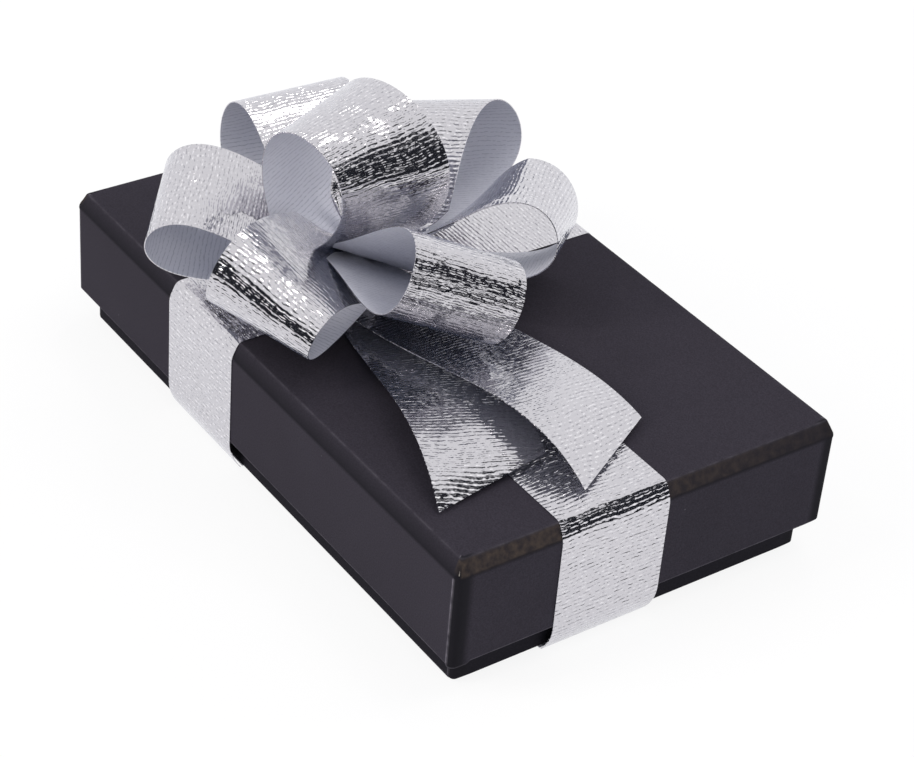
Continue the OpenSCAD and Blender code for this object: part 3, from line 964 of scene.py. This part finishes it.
def finishPaper(piece, points, material, body, node):
    piece.data.materials.append(material)
    wall = piece.modifiers.new("paper", "SOLIDIFY")
    wall.thickness = box["paper"] * mm
    wall.offset = -1
    bpy.ops.object.modifier_apply(modifier="paper")
    known = KDTree(len(points))
    for i, point in enumerate(points):
        known.insert(Vector(point[:3]) * mm, i)
    known.balance()
    for column, label in ((3, "wearAndHighlight"), (4, "streak"), (5, "paintedShade")):
        layer = piece.data.attributes.new(label, "FLOAT", "POINT")
        for vertex, entry in zip(piece.data.vertices, layer.data):
            found, i, distance = known.find(vertex.co)
            entry.value = points[i][column] if distance < box["touch"] * mm else 0
    bpy.ops.object.shade_smooth_by_angle(angle=math.radians(box["smooth"]))
    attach(piece, body)
    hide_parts(node)


def lidProfile():
    # inset, height, wear and painted highlight, streak, painted shade and side: 0 inside, 1 outside,
    # 2 the rim with its tabs
    low = box["skirt"]
    high = box["top"]
    bevel = high - box["bevelDown"]
    return [
        (box["wall"], low + box["turnIn"], 0, 0, 0, 0),
        (box["wall"], low + 0.35, 0, 0, 0, 0),
        # the wear of the rim rows is a painted highlight along the fold
        (box["wall"] - 0.1, low + 0.1, 0.1, 0, 0, 0),
        (box["wall"] - 0.35, low, 0.15, 0, 0, 0),
        (0.32, low, 0.15, 0, 0, 2),
        (0.09, low + 0.07, 0.3, 0, 0, 2),
        (0, low + 0.24, 0.25, 0, 0, 2),
        (0, low + 0.5, 0, 0, 0, 2),
        (0, low + 1.6, 0, 0, 0, 1),
        (0, bevel - 0.6, 0, 0, 0, 1),
        # the bevel rows from here up carry painted shade
        (0.02, bevel - 0.15, 0, 0, 0.5, 1),
        (0.1, bevel + 0.15, 0, 0.3, 0.9, 1),
        (0.24, bevel + 0.45, 0, 1, 0.75, 1),
        (1.36, high - 0.55, 0, 1, 0.7, 1),
        # the wear of these top rows is a painted highlight along the bevel's upper edge
        (1.5, high - 0.24, 0.04, 0.6, 0.6, 1),
        (1.68, high - 0.07, 0.13, 0.1, 0.3, 1),
        (1.95, high, 0.02, 0, 0, 1),
        (2.4, high, 0, 0, 0, 0),
    ]


def trayProfile():
    low = box["trayBottom"]
    high = box["trayRim"]
    return [
        (box["wall"], high - box["turnIn"], 0, 0, 0, 0),
        (box["wall"], high - 0.35, 0, 0, 0, 0),
        # the wear of the rim rows, and the faint wear at the foot, is a painted highlight along the
        # folds
        (box["wall"] - 0.1, high - 0.1, 0.1, 0, 0, 0),
        (box["wall"] - 0.35, high, 0.2, 0, 0, 0),
        (0.32, high, 0.2, 0, 0, 1),
        (0.09, high - 0.07, 0.35, 0, 0, 1),
        (0, high - 0.24, 0.2, 0, 0, 1),
        (0, high - 0.5, 0, 0, 0, 1),
        (0, low + 0.55, 0, 0, 0, 1),
        (0.05, low + 0.25, 0.05, 0, 0, 1),
        (0.25, low + 0.04, 0.05, 0, 0, 1),
        (0.6, low, 0, 0, 0, 1),
        (1.2, low, 0, 0, 0, 0),
    ]


wrap, points = wrapBox("lid_paper", box["lidLength"], box["lidWidth"], lidProfile())
finishPaper(wrap, points, lidPaper, "lid", "lid_wrap")
wrap, points = wrapBox("tray_paper", box["trayLength"], box["trayWidth"], trayProfile())
finishPaper(wrap, points, shadedTrayPaper, "tray", "tray_wrap")
print("papers made")

# Boards, tapes and linings are the frame's own nodes
nodeFinish = {
    "tray_board": board, "lid_board": board,
    "tray_corner_stays": tape, "lid_corner_stays": tape,
    "tray_liner": liningPaper, "lid_liner": liningPaper,
}
for node, material in nodeFinish.items():
    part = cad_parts[node]
    part.data.materials.clear()
    part.data.materials.append(material)
print("inner parts finished")

# The stage is in metres. The unlit wall stands behind the camera with a low window in it, and a
# high panel stands to the right. Their turns go from +X towards +Y, seen from above.
stage = {
    "floor": 6.0, "floorDrop": 0.0002, "floorColour": "#f7f7f8", "floorGlow": 0.88,
    "world": 0.62, "worldTint": "#e4e8f4", "dark": "#13151c", "lampTint": "#fffaf3",
    "room": 0.55, "roomSides": 96, "roomLevels": (0.13, 0.07, 0.3, 0.28), "roomTurns": (-122, 50),
    "windowTurns": (-35, 28), "windowHigh": 0.165, "windowNear": 0.01,
    "highTurns": (42, 72), "highFrom": 0.5,
}


def seenStraight(tree):
    # 1 for what the camera, a mirror or glass sees, and 0 for the light on the object
    ray = addNode(tree, "LightPath")
    shown = addNode(tree, "Math", {"operation": "MAXIMUM"}, {
        0: ray.outputs["Is Camera Ray"], 1: ray.outputs["Is Glossy Ray"],
    })
    return addNode(tree, "Math", {"operation": "MAXIMUM"}, {
        0: shown.outputs[0], 1: ray.outputs["Is Transmission Ray"],
    })


def paleFloor():
    bpy.ops.object.select_all(action="DESELECT")
    bpy.ops.mesh.primitive_plane_add(size=stage["floor"], location=(0, 0, -stage["floorDrop"]))
    floor = bpy.context.object
    floor.name = "floor"
    material, tree = newMaterial("white paper sweep")
    seen = seenStraight(tree)
    share = addNode(tree, "Math", {"operation": "MULTIPLY"}, {
        0: seen.outputs[0], 1: stage["floorGlow"],
    })
    matt = addNode(tree, "BsdfDiffuse", None, {"Color": colour(stage["floorColour"])})
    glow = addNode(tree, "Emission", None, {"Color": (1, 1, 1, 1), "Strength": 1.0})
    mixed = addNode(tree, "MixShader", None, {
        0: share.outputs[0], 1: matt.outputs[0], 2: glow.outputs[0],
    })
    finishMaterial(tree, mixed)
    floor.data.materials.append(material)


def isDark(middle):
    turn = math.degrees(math.atan2(middle.y, middle.x))
    if middle.z > stage["highFrom"]:
        return stage["highTurns"][0] < turn < stage["highTurns"][1]
    window = stage["windowTurns"][0] < turn < stage["windowTurns"][1]
    window = window and abs(middle.z - stage["windowHigh"]) < stage["windowNear"]
    return stage["roomTurns"][0] < turn < stage["roomTurns"][1] and not window


def darkRoom():
    # the unlit half of the studio behind the camera, which only the silver film sees
    bpy.ops.object.select_all(action="DESELECT")
    bpy.ops.mesh.primitive_circle_add(
        vertices=stage["roomSides"], radius=stage["room"], location=(0, 0, 0),
    )
    wall = bpy.context.object
    wall.name = "dark_room"
    bpy.ops.object.mode_set(mode="EDIT")
    bpy.ops.mesh.select_all(action="SELECT")
    for rise in stage["roomLevels"]:
        bpy.ops.mesh.extrude_edges_move()
        bpy.ops.transform.translate(value=(0, 0, rise))
    bpy.ops.mesh.select_all(action="DESELECT")
    bpy.ops.mesh.select_mode(type="FACE")
    sketch = bmesh.from_edit_mesh(wall.data)
    for face in sketch.faces:
        face.select_set(not isDark(face.calc_center_median()))
    bmesh.update_edit_mesh(wall.data)
    bpy.ops.mesh.delete(type="FACE")
    bpy.ops.object.mode_set(mode="OBJECT")
    material, tree = newMaterial("unlit wall")
    shader = addNode(tree, "Emission", None, {"Color": colour(stage["dark"]), "Strength": 1.0})
    finishMaterial(tree, shader)
    wall.data.materials.append(material)
    wall.visible_camera = False
    wall.visible_diffuse = False
    wall.visible_shadow = False


def makeWorld():
    world = bpy.data.worlds.new("studio")
    world.use_nodes = True
    tree = world.node_tree
    tree.nodes.clear()
    seen = seenStraight(tree)
    light = addNode(tree, "Background", None, {
        "Color": colour(stage["worldTint"]), "Strength": stage["world"],
    })
    white = addNode(tree, "Background", None, {"Color": (1, 1, 1, 1), "Strength": 1.0})
    mixed = addNode(tree, "MixShader", None, {
        0: seen.outputs[0], 1: light.outputs[0], 2: white.outputs[0],
    })
    addNode(tree, "OutputWorld", links={"Surface": mixed.outputs[0]})
    bpy.context.scene.world = world


# Each lamp: place and size in metres, power in watts, and whether the film mirrors it.
# Two small lamps make the sparkles, and the big ones only fill.
lamps = {
    "front lamp": ((-0.168, -0.628, 1.126), (0.15, 0.15), 1.3, True),
    "back lamp": ((-0.338, 0.433, 1.178), (0.15, 0.15), 1.0, True),
    "overhead fill": ((0.15, 0.45, 1.2), (0.7, 0.7), 3.9, False),
    "left fill": ((-0.434, -1.192, 0.703), (0.5, 0.7), 10.5, False),
    "right fill": ((0.205, 1.160, 0.549), (0.5, 0.5), 4.2, False),
    "front fill": ((0.990, -0.265, 0.800), (0.5, 0.5), 2.4, False),
}


def softLamp(name, place, size, power, mirrored):
    lamp = bpy.data.lights.new(name, "AREA")
    lamp.shape = "RECTANGLE"
    lamp.size, lamp.size_y = size
    lamp.energy = power
    lamp.color = colour(stage["lampTint"])[:3]
    holder = bpy.data.objects.new(name, lamp)
    bpy.context.scene.collection.objects.link(holder)
    holder.location = place
    holder.visible_glossy = mirrored
    holder.rotation_mode = "QUATERNION"
    holder.rotation_quaternion = Vector(place).to_track_quat("Z", "Y")


paleFloor()
darkRoom()
makeWorld()
for name, values in lamps.items():
    softLamp(name, *values)
bpy.context.scene.view_settings.view_transform = "Standard"
print("floor and lights set")
